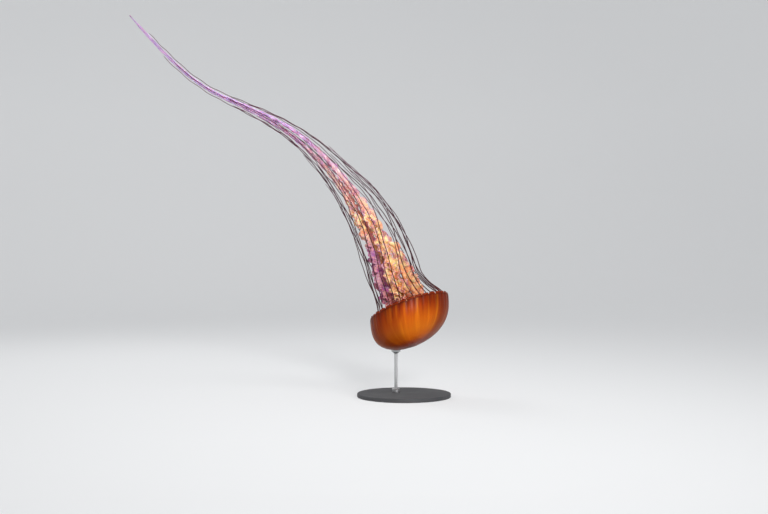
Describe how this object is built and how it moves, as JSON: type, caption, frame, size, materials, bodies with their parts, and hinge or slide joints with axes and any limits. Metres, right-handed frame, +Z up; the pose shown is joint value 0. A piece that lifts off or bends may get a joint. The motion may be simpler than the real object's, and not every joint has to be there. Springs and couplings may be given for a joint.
{
  "type": "sea nettle jellyfish display model",
  "caption": "Life-size still model of a sea nettle jellyfish, bell down with frilled arms and long tentacles trailing up and away, held on a round base by a short rod.",
  "frame": {"origin": "centre of the underside of the stand's round base", "axes": "+Z up, the front of the display faces -Y, and the arms and tentacles trail up and towards -X"},
  "size_m": [1.1865, 0.3526, 1.4036],
  "materials": {
    "bell_jelly": "wet, glossy, slightly see-through golden orange",
    "oral_arm_tissue": "soft frilled cream, peach and pink",
    "tentacle": "smooth dark maroon",
    "stand_paint": "satin dark grey",
    "stand_steel": "brushed"
  },
  "bodies": {
    "root": {"bell": "bell_jelly", "manubrium": "oral_arm_tissue", "oral_arm_1_length_1": "oral_arm_tissue", "oral_arm_1_length_2": "oral_arm_tissue", "oral_arm_2_length_1": "oral_arm_tissue", "oral_arm_2_length_2": "oral_arm_tissue", "oral_arm_3_length_1": "oral_arm_tissue", "oral_arm_3_length_2": "oral_arm_tissue", "oral_arm_4_length_1": "oral_arm_tissue", "oral_arm_4_length_2": "oral_arm_tissue", "tentacle_01_length_1": "tentacle", "tentacle_01_length_2": "tentacle", "tentacle_02_length_1": "tentacle", "tentacle_02_length_2": "tentacle", "tentacle_03_length_1": "tentacle", "tentacle_03_length_2": "tentacle", "tentacle_04_length_1": "tentacle", "tentacle_04_length_2": "tentacle", "tentacle_05_length_1": "tentacle", "tentacle_05_length_2": "tentacle", "tentacle_06_length_1": "tentacle", "tentacle_06_length_2": "tentacle", "tentacle_07_length_1": "tentacle", "tentacle_07_length_2": "tentacle", "tentacle_08_length_1": "tentacle", "tentacle_08_length_2": "tentacle", "tentacle_09_length_1": "tentacle", "tentacle_09_length_2": "tentacle", "tentacle_10_length_1": "tentacle", "tentacle_10_length_2": "tentacle", "tentacle_11_length_1": "tentacle", "tentacle_11_length_2": "tentacle", "tentacle_12_length_1": "tentacle", "tentacle_12_length_2": "tentacle", "tentacle_13_length_1": "tentacle", "tentacle_13_length_2": "tentacle", "tentacle_14_length_1": "tentacle", "tentacle_14_length_2": "tentacle", "tentacle_15_length_1": "tentacle", "tentacle_15_length_2": "tentacle", "tentacle_16_length_1": "tentacle", "tentacle_16_length_2": "tentacle", "tentacle_17_length_1": "tentacle", "tentacle_17_length_2": "tentacle", "tentacle_18_length_1": "tentacle", "tentacle_18_length_2": "tentacle", "tentacle_19_length_1": "tentacle", "tentacle_19_length_2": "tentacle", "tentacle_20_length_1": "tentacle", "tentacle_20_length_2": "tentacle", "tentacle_21_length_1": "tentacle", "tentacle_21_length_2": "tentacle", "tentacle_22_length_1": "tentacle", "tentacle_22_length_2": "tentacle", "tentacle_23_length_1": "tentacle", "tentacle_23_length_2": "tentacle", "tentacle_24_length_1": "tentacle", "tentacle_24_length_2": "tentacle", "stand_base": "stand_paint", "stand_rod": "stand_steel"}
  },
  "joints": []
}
